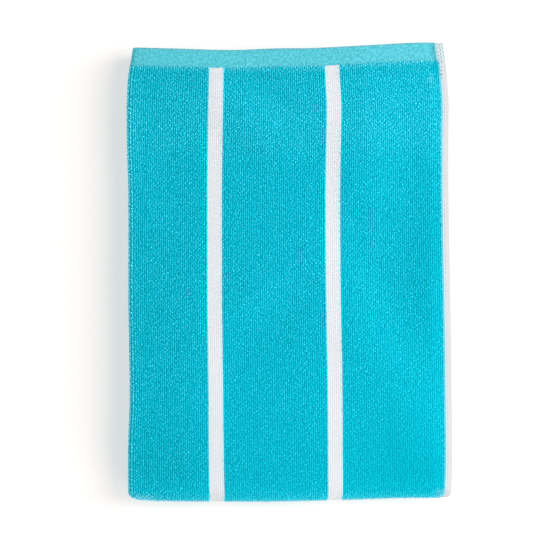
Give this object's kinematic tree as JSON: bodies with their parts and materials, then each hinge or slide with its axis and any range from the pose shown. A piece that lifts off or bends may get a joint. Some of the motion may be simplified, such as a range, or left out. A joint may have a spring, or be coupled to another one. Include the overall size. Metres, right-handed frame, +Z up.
{
  "type": "folded beach towel",
  "caption": "Striped terry beach towel folded flat for the shelf, in thirds across its width and in quarters along its length, with hemmed ends at the back.",
  "frame": {"origin": "centre of the folded towel's footprint, on the surface that it lies on", "axes": "+Z up, +Y towards the two hemmed ends, +X towards the side edge that lies on top"},
  "size_m": [0.2994, 0.421, 0.0409],
  "materials": {
    "terry": "cut-loop cotton pile, matt"
  },
  "bodies": {
    "root": {"towel": "terry"}
  },
  "joints": []
}
